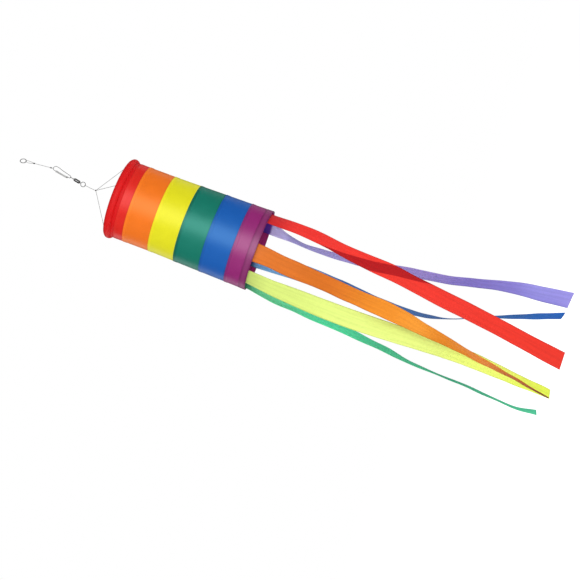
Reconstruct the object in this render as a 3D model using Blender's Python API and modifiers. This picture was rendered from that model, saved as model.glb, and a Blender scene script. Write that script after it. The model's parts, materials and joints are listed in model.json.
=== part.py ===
"""Hanging rainbow windsock: a hang ring, a short line, a snap, a barrel swivel, a three-line bridle,
a cloth tube sewn from six bands on a rolled mouth hoop, and six ribbon tails.

Metres, +Z up. The origin is the top of the hang ring, and the sock hangs straight down from it, with
its tube centred on the Z axis. Each link of the hanger is modelled upright under its own empty, whose
origin is the pivot that the link swings about, so the empties are also the joints.
"""

import math

import bmesh
import bpy
import numpy as np
from mathutils import Matrix, Vector

MM = 0.001
GAP = 0.3 * MM  # the clearance left between neighbouring pieces

# Hang ring
RING_RADIUS = 5.85 * MM  # to the middle of the wire
RING_WIRE = 0.65 * MM  # radius
RING_YAW = math.radians(45)

# Cord of the hanger and the bridle
CORD_RADIUS = 0.4 * MM
LINE_LENGTH = 55.3 * MM  # from the hang ring's wire to the snap's nose
LINE_EYE_LENGTH = 14.3 * MM
LINE_EYE_WIDTH = 5.0 * MM
LOWER_EYE_LENGTH = 3.8 * MM
LOWER_EYE_WIDTH = 3.0 * MM
CRIMP_RADIUS = 1.2 * MM
CRIMP_LENGTH = 2.6 * MM

# Snap
SNAP_WIRE = 0.45 * MM  # radius
SNAP_LENGTH = 37.7 * MM  # from the line's eye to the middle of the wire in the rear bend
SNAP_PIN_RADIUS = 0.5 * MM
SNAP_PIN_UP = 7.5 * MM  # from the rear bend to the gate's pin
SNAP_PIN = (-3.2 * MM, SNAP_PIN_UP - SNAP_LENGTH)
GATE_SHEET = 0.35 * MM
GATE_SHORT = 5.6 * MM  # from the line's eye to the gate's tip
GATE_LENGTH = SNAP_LENGTH - SNAP_PIN_UP - GATE_SHORT
GATE_DEPTH = 3.1 * MM  # from the web's inner face to the open edge
GATE_WEB = 1.8 * MM  # from the pin's axis to the web's inner face
GATE_EAR = 1.9 * MM
GATE_LEAN = math.radians(2.5)
GATE_NIP = 1.2 * MM  # cut off each corner at the gate's tip
PIN_HEAD_RADIUS = 1.0 * MM
PIN_HEAD = 0.4 * MM

# Barrel swivel
UPPER_EYE_RADIUS = 2.9 * MM
UPPER_EYE_WIRE = 0.5 * MM
LOWER_EYE_RADIUS = 4.6 * MM
LOWER_EYE_WIRE = 0.55 * MM
SHANK_RADIUS = 0.6 * MM
SHANK_HEAD_RADIUS = 1.7 * MM
SHANK_HEAD = 0.9 * MM
SHANK_SHOW = 2.0 * MM  # shank between each eye and the barrel
BARREL_LENGTH = 13.0 * MM
BARREL_RADIUS = 3.1 * MM
BARREL_END_RADIUS = 2.3 * MM
BARREL_CHAMFER = 1.8 * MM
BARREL_END_WALL = 1.4 * MM
BARREL_BORE = 2.2 * MM

# How far each hanger link leans at rest: positive carries its lower end towards +X
RING_LEAN = math.radians(12)
LINE_LEAN = math.radians(6)
SNAP_LEAN = math.radians(-7)
SWIVEL_LEAN = math.radians(-9)

# Bridle
SWIVEL_LENGTH = (
    2 * UPPER_EYE_RADIUS - SNAP_WIRE - GAP + BARREL_LENGTH + 2 * SHANK_SHOW
    + LOWER_EYE_WIRE + 2 * LOWER_EYE_RADIUS
)  # from the snap's rear bend to the inside of the lower eye
HANGER_DROP = (
    (2 * RING_RADIUS + RING_WIRE) * math.cos(RING_LEAN) + LINE_LENGTH * math.cos(LINE_LEAN)
    + SNAP_LENGTH * math.cos(SNAP_LEAN) + SWIVEL_LENGTH * math.cos(SWIVEL_LEAN)
)
LEAD_LENGTH = 22.695 * MM  # from the lower eye down to the knot
KNOT_DROP = HANGER_DROP + LEAD_LENGTH
KNOT_SIDE = -2.8 * MM
KNOT_RADIUS = 1.7 * MM
LEAD_SPREAD = 0.6 * MM  # from the lead's middle to each of its two strands
BRIDLE_ANGLES = (53, 147, -75)  # degrees round the mouth, from -Y towards +X
ANCHOR_RADIUS = 1.4 * MM
ANCHOR_TILT = math.radians(115)  # where an anchor knot sits on the roll, from outwards, over the top

# Tube
BAND_NAMES = ("red", "orange", "yellow", "green", "blue", "purple")
BAND_HEIGHT = 52.0 * MM  # between two seams
LAST_BAND_HEIGHT = 42.0 * MM
BAND_CLOTH = 0.5 * MM
TUBE_RADIUS = 74.8 * MM
FLARE = 4.1 * MM
TAIL_RADIUS = TUBE_RADIUS + FLARE

# Mouth
HOOP_RADIUS = 5.7 * MM
ROLL_CLOTH = 0.8 * MM
ROLL_SLACK = 0.6 * MM  # between the hoop and the cloth rolled round it
ROLL_RADIUS = HOOP_RADIUS + ROLL_SLACK + ROLL_CLOTH  # outside of the rolled cloth
ROLL_CENTRE = TUBE_RADIUS - 2.8 * MM
BRIDLE_DROP = 53.4 * MM
ROLL_DROP = KNOT_DROP + BRIDLE_DROP  # the hoop's centre circle below the hang point
HEM_RADIUS = TUBE_RADIUS - BAND_CLOTH  # outside of the hem's neck
HEM_NECK_DROP = ROLL_DROP + 2 * ROLL_RADIUS
FIRST_SEAM_DROP = ROLL_DROP + 32.4 * MM  # the seam between the first and the second band

# Tail hem
STIFFENER_HEIGHT = 12.0 * MM
STIFFENER_STRIP = 0.6 * MM
STIFFENER_UP = 1.0 * MM  # from the tail edge to the stiffener
FACING_HEIGHT = 15.0 * MM
FACING_CLOTH = 0.4 * MM

# Ribbons
RIBBON_WIDTH = 36.0 * MM
RIBBON_CLOTH = 0.5 * MM
RIBBON_LENGTH = 600.0 * MM
ROOT_HEIGHT = 13.0 * MM
ROOT_BELOW = 0.6 * MM  # how far a root shows below the tail edge
ROOT_CLEAR = 0.5 * MM  # between the facing and the roots
HINGE_GAP = 0.5 * MM
FLATTENS_BY = 60.0 * MM  # a ribbon keeps the hem's curve across its width until it has hung this far
# The ribbon length and the hinge radius that the routes below were laid out for
ROUTE_LENGTH = 600.0 * MM
ROUTE_RADIUS = 76.05 * MM

# Each ribbon's angle round the tail in degrees, from -Y towards +X, and the route of its middle line:
# how far it has hung, X and Y in millimetres, and how far its width has turned from X in degrees.
RIBBONS = {
    "red": (57, (
        (48, 63, -44.5, 54), (118, 59, -46, 50), (165, 53.5, -47, 45), (212, 50, -48, 35),
        (258, 46.5, -49, 31), (305, 41, -50, 33), (350, 36, -51, 27), (443, 25.5, -52.5, 29),
        (535, 13.5, -54.5, 26), (600, 5, -56, 20),
    )),
    "orange": (-5.5, (
        (25, -8.5, -78, -22), (75, -12, -81, -25), (120, -14, -83.5, -33), (210, -19.5, -89, -36),
        (260, -21.5, -91.5, -30), (305, -26.5, -94.5, -38), (350, -32.5, -97, -53),
        (395, -37.5, -100, -64), (485, -51, -105, -77), (530, -57.5, -108, -83),
        (594, -67, -112, -87),
    )),
    "lime": (-47.5, (
        (48, -58, -51.5, -39), (118, -60, -52, -20), (212, -60, -52, 0), (304, -56, -52.5, 20),
        (397, -52, -53, 30), (466, -52.5, -54, 40), (534, -57, -54.5, 53), (600, -60.5, -55, 63),
    )),
    "green": (-108, (
        (43, -78, 24.5, -107), (115, -81.5, 25.5, -109), (210, -85, 26.5, -112),
        (258, -89.5, 27.5, -110), (306, -94, 28, -105), (350, -98.5, 28.5, -98),
        (400, -100.5, 29, -95), (495, -104.5, 30.5, -97), (560, -107, 31, -96),
        (599, -102, 32, -104),
    )),
    "blue": (192, (
        (80, -11, 78, 198), (160, -10, 79, 215), (230, -11, 80, 238), (285, -8.5, 80.5, 250),
        (345, -2, 81, 259), (390, 9, 82, 267), (440, 31.5, 83, 272), (500, 56, 83.5, 284),
        (545, 73.5, 84, 290), (588, 90, 85, 291),
    )),
    "lavender": (137, (
        (30, 46, 60, 112), (65, 41, 61, 101), (110, 41, 63, 105), (165, 47, 64, 112),
        (260, 61, 66, 116), (355, 77, 68, 116), (450, 101, 71, 122), (500, 110.5, 72, 134),
        (550, 117.5, 73, 145), (590, 123, 74, 149),
    )),
}

# How finely the meshes are cut
TUBE_SEGMENTS = 64
ROLL_STEPS = 10
HOOP_SIDES = 10
RIBBON_SECTIONS = 30
RIBBON_COLUMNS = 2
TURNED_STEPS = 16

# Places worked out from the sizes above
TAIL_DROP = FIRST_SEAM_DROP + (len(BAND_NAMES) - 2) * BAND_HEIGHT + LAST_BAND_HEIGHT
FLARE_TOP = FIRST_SEAM_DROP + BAND_HEIGHT
STIFFENER_IN = BAND_CLOTH + GAP
FACING_IN = STIFFENER_IN + STIFFENER_STRIP + GAP
ROOT_IN = FACING_IN + FACING_CLOTH + ROOT_CLEAR
HINGE_DROP = TAIL_DROP + ROOT_BELOW + HINGE_GAP / 2
HINGE_RADIUS = TAIL_RADIUS - ROOT_IN - RIBBON_CLOTH / 2

COLOURS = {
    "red": (0.78, 0.012, 0.010), "orange": (0.90, 0.18, 0.012), "yellow": (0.90, 0.78, 0.012),
    "green": (0.010, 0.20, 0.085), "blue": (0.010, 0.075, 0.42), "purple": (0.16, 0.018, 0.17),
    "lime": (0.62, 0.90, 0.03), "lavender": (0.19, 0.12, 0.62), "bright_green": (0.02, 0.56, 0.20),
    "royal_blue": (0.02, 0.09, 0.52),
}


def clear_scene():
    for item in list(bpy.data.objects):
        bpy.data.objects.remove(item, do_unlink=True)


def new_collection(name):
    collection = bpy.data.collections.new(name)
    bpy.context.scene.collection.children.link(collection)
    return collection


def material(name, colour, roughness, metallic=0.0):
    made = bpy.data.materials.new(name)
    made.use_nodes = True
    shader = made.node_tree.nodes["Principled BSDF"]
    shader.inputs["Base Color"].default_value = (*colour, 1.0)
    shader.inputs["Roughness"].default_value = roughness
    shader.inputs["Metallic"].default_value = metallic
    made.diffuse_color = (*colour, 1.0)
    return made


def place(name, data, finish, parent=None, matrix=None, cutter=False):
    """One named object in its collection, with its material, under its link's empty."""
    made = bpy.data.objects.new(name, data)
    (CUTTERS if cutter else PARTS).objects.link(made)
    if finish:
        data.materials.append(finish)
    made.parent = parent
    if matrix is not None:
        made.matrix_local = matrix
    if cutter:
        made.hide_render = True
        made.display_type = "WIRE"
    return made


def pivot(name, at, parent=None, lean=0.0):
    """An empty at a joint, turned so that its -Z runs down its link."""
    made = bpy.data.objects.new(name, None)
    PARTS.objects.link(made)
    made.parent = parent
    made.empty_display_size = 0.01
    made.matrix_local = Matrix.Translation(at) @ Matrix.Rotation(-lean, 4, "Y")
    return made


def smooth(stations, values):
    """Rows of stations read at other first-column values, on one smooth curve through all of them."""
    rows = np.array(stations, float)
    s, rest = rows[:, 0], rows[:, 1:]
    slope = np.gradient(rest, s, axis=0)
    index = np.clip(np.searchsorted(s, values) - 1, 0, len(s) - 2)
    step = (s[index + 1] - s[index])[:, None]
    t = (np.asarray(values) - s[index])[:, None] / step
    start = (2 * t**3 - 3 * t**2 + 1) * rest[index] + (t**3 - 2 * t**2 + t) * step * slope[index]
    end = (3 * t**2 - 2 * t**3) * rest[index + 1] + (t**3 - t**2) * step * slope[index + 1]
    return start + end


def smooth_route(points, count):
    """Points evenly spread along a smooth curve through the route's own points."""
    points = np.array(points, float)
    lengths = np.linalg.norm(np.diff(points, axis=0), axis=1)
    along = np.concatenate([[0], np.cumsum(lengths)])
    fine = smooth(np.column_stack([along, points]), np.linspace(0, along[-1], 12 * count))
    run = np.concatenate([[0], np.cumsum(np.linalg.norm(np.diff(fine, axis=0), axis=1))])
    even = np.linspace(0, run[-1], count)
    return np.column_stack([np.interp(even, run, fine[:, k]) for k in range(3)])


def wire(name, points, radius, finish, parent=None, cyclic=False):
    """A round wire or cord along a list of points."""
    curve = bpy.data.curves.new(name, "CURVE")
    curve.dimensions = "3D"
    curve.bevel_depth = radius
    curve.bevel_resolution = 2
    curve.use_fill_caps = True
    spline = curve.splines.new("POLY")
    spline.points.add(len(points) - 1)
    for point, at in zip(spline.points, points):
        point.co = (*at, 1.0)
    spline.use_cyclic_u = cyclic
    return place(name, curve, finish, parent)


def profile_mesh(name, points, closed):
    """An outline in the XZ plane, for a Screw modifier to turn about Z."""
    mesh = bpy.data.meshes.new(name)
    edges = [(k, k + 1) for k in range(len(points) - 1)]
    if closed:
        edges.append((len(points) - 1, 0))
    mesh.from_pydata([(r, 0.0, z) for r, z in points], edges, [])
    return mesh


def turn(made, steps):
    screw = made.modifiers.new("Turn", "SCREW")
    screw.steps = steps
    screw.render_steps = steps
    screw.use_merge_vertices = True
    screw.merge_threshold = 0.00001
    screw.use_smooth_shade = True
    return made


def turned(name, points, finish, steps, parent=None, closed=True, cutter=False):
    """A solid of revolution about the parent's Z, from its outline down the outside and back up."""
    return turn(place(name, profile_mesh(name, points, closed), finish, parent, cutter=cutter), steps)


def thicken(made, thickness, offset):
    shell = made.modifiers.new("Thickness", "SOLIDIFY")
    shell.thickness = thickness
    shell.offset = offset
    shell.use_even_offset = True
    return made


def joined(made, other):
    union = made.modifiers.new("Join", "BOOLEAN")
    union.operation = "UNION"
    union.object = other
    return made


def bead(name, centre, radius, finish, parent=None, length=1.0):
    """A knot: a small round body, longer or shorter than wide."""
    mesh = bpy.data.meshes.new(name)
    form = bmesh.new()
    bmesh.ops.create_uvsphere(form, u_segments=12, v_segments=8, radius=radius)
    bmesh.ops.scale(form, vec=(1, 1, length), verts=form.verts)
    form.to_mesh(mesh)
    form.free()
    mesh.shade_smooth()
    return place(name, mesh, finish, parent, Matrix.Translation(centre))


def around(angle, radius, drop):
    """The point at an angle round the sock, from -Y towards +X."""
    turned_by = math.radians(angle)
    return Vector((radius * math.sin(turned_by), -radius * math.cos(turned_by), -drop))


def tube_radius(drop):
    """Outside of the cloth tube: straight at first, then flaring evenly to the tail."""
    share = max(0.0, (drop - FLARE_TOP) / (TAIL_DROP - FLARE_TOP))
    return TUBE_RADIUS + (TAIL_RADIUS - TUBE_RADIUS) * share


def eye_route(reach, length, width, axis):
    """A cord's eye: both legs from its crimp, at -length, round a wire at the origin."""
    half = [(-0.13, -1.0), (-0.32, -0.78), (-0.5, -0.42), (-0.42, -0.08)]
    side = [(x * width, z * length) for x, z in half]
    outline = [*side, (0.0, reach), *[(-x, z) for x, z in reversed(side)]]
    return [(x * math.cos(axis), x * math.sin(axis), z) for x, z in outline]


def hang_ring(parent):
    bpy.ops.mesh.primitive_torus_add(
        major_segments=28, minor_segments=8, major_radius=RING_RADIUS, minor_radius=RING_WIRE
    )
    mesh = bpy.context.object.data
    bpy.data.objects.remove(bpy.context.object)
    upright = Matrix.Rotation(RING_YAW, 4, "Z") @ Matrix.Rotation(math.radians(90), 4, "X")
    at = Matrix.Translation((0, 0, -RING_RADIUS - RING_WIRE))
    mesh.shade_smooth()
    place("hang_ring", mesh, NICKEL, parent, at @ upright)


def crimp(name, top, parent):
    """A pressed sleeve on the cord, with its top at this height in the link."""
    edge = 0.3 * MM
    outline = (
        (0, top), (CRIMP_RADIUS - edge, top), (CRIMP_RADIUS, top - edge),
        (CRIMP_RADIUS, top - CRIMP_LENGTH + edge), (CRIMP_RADIUS - edge, top - CRIMP_LENGTH),
        (0, top - CRIMP_LENGTH),
    )
    turned(name, outline, NICKEL, TURNED_STEPS, parent, closed=False)


def hang_line(parent):
    """The line: an eye on the ring, a crimp, the line itself, a crimp and an eye on the snap."""
    reach = RING_WIRE + 1.3 * GAP + CORD_RADIUS
    upper = eye_route(reach, LINE_EYE_LENGTH, LINE_EYE_WIDTH, RING_YAW + math.radians(90))
    wire("line_eye_upper", smooth_route(upper, 35), CORD_RADIUS, CORD, parent)
    crimp_top = -LINE_EYE_LENGTH - GAP
    crimp("line_crimp_upper", crimp_top, parent)
    line_top = crimp_top - CRIMP_LENGTH - GAP
    line_end = -LINE_LENGTH + LOWER_EYE_LENGTH + 2 * GAP + CRIMP_LENGTH
    route = [(0, 0, line_top + (line_end - line_top) * k / 20) for k in range(21)]
    wire("hang_line", route, CORD_RADIUS, CORD, parent)
    crimp("line_crimp_lower", line_end - GAP, parent)
    legs = ((0.17, 1.0), (0.23, 0.84), (0.5, 0.5), (0.42, 0.14))
    side = [(0, y * LOWER_EYE_WIDTH, -LINE_LENGTH + z * LOWER_EYE_LENGTH) for y, z in legs]
    other = [(0, -y, z) for _, y, z in reversed(side)]
    lower = [*side, (0, 0, -LINE_LENGTH), *other]
    wire("line_eye_lower", smooth_route(lower, 19), CORD_RADIUS, CORD, parent)


def snap(parent):
    """The snap's bent wire: hook, nose, long side, rear bend, and a small eye round the gate's pin."""
    nose = SNAP_WIRE + GAP + CORD_RADIUS
    rear = -SNAP_LENGTH
    px, pz = SNAP_PIN
    curl = SNAP_PIN_RADIUS + GAP + SNAP_WIRE
    run = [
        (-2.3 * MM, -6.4 * MM), (-2.5 * MM, -3.2 * MM), (-1.7 * MM, -0.2 * MM), (0, nose),
        (3.2 * MM, 0.3 * MM), (5.9 * MM, -2.4 * MM), (6.2 * MM, -5.2 * MM), (4.9 * MM, -14 * MM),
        (4.1 * MM, -19 * MM), (2.8 * MM, rear + 6.5 * MM), (2.1 * MM, rear + 2.2 * MM), (0, rear),
        (-2.0 * MM, rear + 1.9 * MM), (px + curl, pz - 2.2 * MM),
    ]
    turns = [math.radians(a) for a in range(0, 271, 30)]
    run += [(px + curl * math.cos(a), pz + curl * math.sin(a)) for a in turns]
    route = smooth_route([(x, 0, z) for x, z in run], 76)
    wire("snap_frame", route, SNAP_WIRE, NICKEL, parent)


def plate(name, outline, thickness, finish, parent, matrix, cutter=False):
    """A flat plate: an outline in the XZ plane, extruded evenly each way along Y."""
    mesh = bpy.data.meshes.new(name)
    form = bmesh.new()
    corners = [form.verts.new((x, -thickness / 2, z)) for x, z in outline]
    face = form.faces.new(corners)
    made = bmesh.ops.extrude_face_region(form, geom=[face])
    moved = [item for item in made["geom"] if isinstance(item, bmesh.types.BMVert)]
    bmesh.ops.translate(form, vec=(0, thickness, 0), verts=moved)
    bmesh.ops.recalc_face_normals(form, faces=form.faces)
    form.to_mesh(mesh)
    form.free()
    return place(name, mesh, finish, parent, matrix, cutter)


def snap_gate(pin):
    """The sheet-metal gate: a channel over the hook's end, with round ears on the pin."""
    inner = SNAP_WIRE + 1.2 * GAP
    outer = inner + GATE_SHEET
    back = -GATE_WEB - GATE_SHEET
    front = GATE_LENGTH
    ear = [math.radians(a) for a in range(200, 341, 20)]
    outline = [(GATE_EAR * math.cos(a), GATE_EAR * math.sin(a)) for a in ear]
    outline += [
        (GATE_DEPTH - GATE_WEB, 3 * MM), (GATE_DEPTH - GATE_WEB, front - GATE_NIP),
        (GATE_DEPTH - GATE_WEB - GATE_NIP, front), (back, front), (back, 2.4 * MM),
    ]
    lean = Matrix.Rotation(GATE_LEAN, 4, "Y")
    gate = plate("snap_gate", outline, 2 * outer, GUARD, pin, lean)
    web = GATE_DEPTH - GATE_WEB + 2 * MM
    trough = [(web, -3 * MM), (web, front + MM), (-GATE_WEB, front + MM), (-GATE_WEB, 2.9 * MM),
              (-GATE_WEB - MM, 2.2 * MM), (-GATE_WEB - MM, -3 * MM)]
    cut = gate.modifiers.new("Channel", "BOOLEAN")
    cut.operation = "DIFFERENCE"
    cut.object = plate("gate_channel", trough, 2 * inner, None, pin, lean, cutter=True)
    bore = SNAP_PIN_RADIUS + GAP
    hole = [(bore * math.cos(a), bore * math.sin(a)) for a in np.radians(range(0, 360, 30))]
    cut = gate.modifiers.new("Pin hole", "BOOLEAN")
    cut.operation = "DIFFERENCE"
    cut.object = plate("gate_hole", hole, 3 * outer, None, pin, lean, cutter=True)
    return outer


def snap_pin(pin, cheek):
    """The rivet that the gate turns on, headed outside both cheeks."""
    seat = cheek + GAP
    end = seat + PIN_HEAD
    outline = (
        (0, end), (PIN_HEAD_RADIUS, end), (PIN_HEAD_RADIUS, seat), (SNAP_PIN_RADIUS, seat),
        (SNAP_PIN_RADIUS, -seat), (PIN_HEAD_RADIUS, -seat), (PIN_HEAD_RADIUS, -end), (0, -end),
    )
    made = turned("snap_pin", outline, NICKEL, TURNED_STEPS, pin, closed=False)
    made.matrix_local = Matrix.Rotation(math.radians(90), 4, "X")


def swivel_eye(name, radius, gauge, centre, head, up, yaw, parent):
    """A closed eye of wire on a shank whose head is caught in the barrel. up is 1 or -1."""
    bpy.ops.mesh.primitive_torus_add(
        major_segments=26, minor_segments=8, major_radius=radius, minor_radius=gauge
    )
    mesh = bpy.context.object.data
    bpy.data.objects.remove(bpy.context.object)
    mesh.shade_smooth()
    upright = Matrix.Rotation(yaw, 4, "Z") @ Matrix.Rotation(math.radians(90), 4, "X")
    eye = place(name, mesh, NICKEL, parent, Matrix.Translation((0, 0, centre)) @ upright)
    tip = centre - up * radius
    outline = [
        (0, tip), (SHANK_RADIUS, tip), (SHANK_RADIUS, head + up * SHANK_HEAD),
        (SHANK_HEAD_RADIUS, head + up * SHANK_HEAD), (SHANK_HEAD_RADIUS, head), (0, head),
    ]
    if up < 0:
        outline.reverse()
    return joined(eye, turned(name + "_shank", outline, None, TURNED_STEPS, parent, False, True))


def swivel(upper, barrel, lower):
    """Upper eye, barrel and lower eye, each on its own pivot empty with the same origin and lean."""
    reach = SNAP_WIRE + GAP + UPPER_EYE_WIRE
    upper_centre = reach - UPPER_EYE_RADIUS
    barrel_top = upper_centre - UPPER_EYE_RADIUS - UPPER_EYE_WIRE - SHANK_SHOW
    barrel_end = barrel_top - BARREL_LENGTH
    lower_centre = barrel_end - SHANK_SHOW - LOWER_EYE_WIRE - LOWER_EYE_RADIUS
    upper_head = barrel_top - BARREL_END_WALL - GAP - SHANK_HEAD
    lower_head = barrel_end + BARREL_END_WALL + GAP + SHANK_HEAD
    swivel_eye("swivel_eye_upper", UPPER_EYE_RADIUS, UPPER_EYE_WIRE, upper_centre, upper_head, 1,
               math.radians(90), upper)
    swivel_eye("swivel_eye_lower", LOWER_EYE_RADIUS, LOWER_EYE_WIRE, lower_centre, lower_head, -1,
               0.0, lower)
    hole = SHANK_RADIUS + GAP
    top, end = barrel_top, barrel_end
    outline = (
        (hole, top), (BARREL_END_RADIUS, top), (BARREL_RADIUS, top - BARREL_CHAMFER),
        (BARREL_RADIUS, end + BARREL_CHAMFER), (BARREL_END_RADIUS, end), (hole, end),
        (hole, end + BARREL_END_WALL), (BARREL_BORE, end + BARREL_END_WALL),
        (BARREL_BORE, top - BARREL_END_WALL), (hole, top - BARREL_END_WALL),
    )
    turned("swivel_barrel", outline, NICKEL, 20, barrel)
    return lower_centre - LOWER_EYE_RADIUS


def bridle(hung_at):
    """The doubled lead from the swivel, the knot, three lines to the mouth and their end knots."""
    knot = Vector((KNOT_SIDE, 0, -KNOT_DROP))
    reach = LOWER_EYE_WIRE + GAP + CORD_RADIUS
    end = knot.z + KNOT_RADIUS + GAP + CORD_RADIUS
    strand = [
        (knot.x, LEAD_SPREAD, end), ((knot.x + hung_at.x) / 2, 1.4 * LEAD_SPREAD, (end + hung_at.z) / 2),
        (hung_at.x, 1.9 * MM, hung_at.z - 2.4 * MM), (hung_at.x, 1.5 * MM, hung_at.z + 0.3 * MM),
    ]
    back = [(x, -y, z) for x, y, z in reversed(strand)]
    lead = [*strand, (hung_at.x, 0, hung_at.z + reach), *back]
    wire("bridle_lead", smooth_route(lead, 45), CORD_RADIUS, CORD)
    bead("bridle_knot", knot, KNOT_RADIUS, CORD, length=1.2)
    seat = ROLL_RADIUS + GAP + ANCHOR_RADIUS
    radius = ROLL_CENTRE + seat * math.cos(ANCHOR_TILT)
    drop = ROLL_DROP - seat * math.sin(ANCHOR_TILT)
    for number, angle in enumerate(BRIDLE_ANGLES, 1):
        anchor = around(angle, radius, drop)
        bead(f"bridle_anchor_{number}", anchor, ANCHOR_RADIUS, CORD)
        way = (anchor - knot).normalized()
        start = knot + way * (1.2 * KNOT_RADIUS + GAP + CORD_RADIUS)
        stop = anchor - way * (ANCHOR_RADIUS + GAP)
        points = [start.lerp(stop, k / 40) for k in range(41)]
        wire(f"bridle_line_{number}", points, CORD_RADIUS, CORD)


def mouth():
    """The hoop, and the hem rolled round it: a neck, then once round, with its end tucked inside."""
    bpy.ops.mesh.primitive_torus_add(
        major_segments=TUBE_SEGMENTS, minor_segments=HOOP_SIDES, major_radius=ROLL_CENTRE,
        minor_radius=HOOP_RADIUS,
    )
    mesh = bpy.context.object.data
    bpy.data.objects.remove(bpy.context.object)
    mesh.shade_smooth()
    place("mouth_hoop", mesh, HOOP, matrix=Matrix.Translation((0, 0, -ROLL_DROP)))
    neck = HEM_RADIUS - ROLL_CENTRE
    first = -math.acos(neck / ROLL_RADIUS)
    last = math.radians(262)
    rolled = [first + (last - first) * k / ROLL_STEPS for k in range(ROLL_STEPS + 1)]
    outline = [(HEM_RADIUS, -HEM_NECK_DROP)]
    outline += [(ROLL_CENTRE + ROLL_RADIUS * math.cos(a), -ROLL_DROP + ROLL_RADIUS * math.sin(a))
                for a in rolled]
    outline.reverse()
    hem = turned("mouth_hem", outline, FABRICS["red"], TUBE_SEGMENTS, closed=False)
    thicken(hem, ROLL_CLOTH, -1.0)


def ring_of_cloth(name, inset, thickness, top, bottom, finish):
    """One turned ring of the tube: its outside lies inset inside the tube's own outside."""
    outline = [(tube_radius(drop) - inset, -drop) for drop in (top, bottom)]
    made = turned(name, outline, finish, TUBE_SEGMENTS, closed=False)
    return thicken(made, thickness, -1.0)


def bands():
    top = HEM_NECK_DROP + GAP
    for number, name in enumerate(BAND_NAMES):
        seam = FIRST_SEAM_DROP + number * BAND_HEIGHT
        bottom = min(seam, TAIL_DROP)
        ring_of_cloth(f"band_{name}", 0.0, BAND_CLOTH, top, bottom, FABRICS[name])
        top = bottom + GAP


def tail_hem():
    """Inside the last band: a stiffening strip, then the cloth facing that the ribbons are sewn to."""
    low = TAIL_DROP - STIFFENER_UP
    ring_of_cloth("tail_stiffener", STIFFENER_IN, STIFFENER_STRIP, low - STIFFENER_HEIGHT, low, HOOP)
    low = TAIL_DROP - GAP
    ring_of_cloth("tail_facing", FACING_IN, FACING_CLOTH, low - FACING_HEIGHT, low, FABRICS["purple"])


def strip(name, sections, finish, parent=None):
    """A band of cloth through a list of sections, each a list of points across its width."""
    columns = len(sections[0])
    mesh = bpy.data.meshes.new(name)
    faces = [
        (row * columns + k, (row + 1) * columns + k, (row + 1) * columns + k + 1, row * columns + k + 1)
        for row in range(len(sections) - 1)
        for k in range(columns - 1)
    ]
    mesh.from_pydata([point for section in sections for point in section], [], faces)
    mesh.shade_smooth()
    made = place(name, mesh, finish)
    if parent:
        bpy.context.view_layer.update()
        made.parent = parent
        made.matrix_parent_inverse = parent.matrix_world.inverted()
    return thicken(made, RIBBON_CLOTH, 0.0)


def across(centre, turned_by, curl):
    """A section of ribbon, bent to a circle of curvature curl, with its edges towards the inside."""
    width = Vector((math.cos(turned_by), math.sin(turned_by), 0))
    inward = Vector((-math.sin(turned_by), math.cos(turned_by), 0))
    points = []
    for k in range(RIBBON_COLUMNS + 1):
        w = RIBBON_WIDTH * (k / RIBBON_COLUMNS - 0.5)
        if curl * RIBBON_WIDTH < 0.001:
            side, lift = w, 0.0
        else:
            side, lift = math.sin(curl * w) / curl, (1 - math.cos(curl * w)) / curl
        points.append(centre + width * side + inward * lift)
    return points


def ribbon(name, angle, route, finish):
    """A ribbon tail: its root, sewn inside the tail hem, and its free length under its own hinge."""
    upright = math.radians(angle)
    rows = [TAIL_DROP - STIFFENER_UP - ROOT_HEIGHT, TAIL_DROP + ROOT_BELOW]
    root = []
    for drop in rows:
        radius = tube_radius(min(drop, TAIL_DROP)) - ROOT_IN - RIBBON_CLOTH / 2
        root.append(across(around(angle, radius, drop), upright, 1 / radius))
    strip(f"ribbon_{name}_root", root, finish)
    hinge = pivot(f"{name}_hinge", around(angle, HINGE_RADIUS, HINGE_DROP))
    hinge.rotation_euler.z = upright
    scale = RIBBON_LENGTH / ROUTE_LENGTH
    first = (0.0, *(around(angle, HINGE_RADIUS, 0.0).xy / MM), angle)
    out = around(angle, HINGE_RADIUS - ROUTE_RADIUS, 0.0) / MM
    stations = [first, *((drop * scale, x + out.x, y + out.y, yaw) for drop, x, y, yaw in route)]
    hung = np.linspace(0, stations[-1][0], RIBBON_SECTIONS + 1)
    sections = []
    for drop, (x, y, yaw) in zip(hung, smooth(stations, hung)):
        centre = Vector((x * MM, y * MM, -HINGE_DROP - HINGE_GAP / 2 - drop * MM))
        share = min(1.0, drop * MM / FLATTENS_BY)
        curl = (1 - share * share * (3 - 2 * share)) / HINGE_RADIUS
        sections.append(across(centre, math.radians(yaw), curl))
    strip(f"ribbon_{name}", sections, finish, hinge)


def main():
    hang = pivot("hang_point", (0, 0, 0), lean=RING_LEAN)
    hang_ring(hang)
    below = Vector((0, 0, -2 * RING_RADIUS - RING_WIRE))
    bpy.context.view_layer.update()
    line = pivot("line_swing", hang.matrix_world @ below, lean=LINE_LEAN)
    hang_line(line)
    bpy.context.view_layer.update()
    link = pivot("snap_swing", line.matrix_world @ Vector((0, 0, -LINE_LENGTH)), lean=SNAP_LEAN)
    snap(link)
    pin = pivot("gate_hinge", (SNAP_PIN[0], 0, SNAP_PIN[1]), parent=link)
    snap_pin(pin, snap_gate(pin))
    bpy.context.view_layer.update()
    rear = link.matrix_world @ Vector((0, 0, -SNAP_LENGTH))
    turns = [pivot(n, rear, lean=SWIVEL_LEAN) for n in ("swivel_swing", "barrel_spin", "eye_spin")]
    lowest = swivel(*turns)
    bpy.context.view_layer.update()
    bridle_swing = pivot("bridle_swing", turns[2].matrix_world @ Vector((0, 0, lowest)))
    bridle(bridle_swing.location)
    mouth()
    bands()
    tail_hem()
    for name, (angle, route) in RIBBONS.items():
        ribbon(name, angle, route, RIBBON_FABRICS[name])


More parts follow.
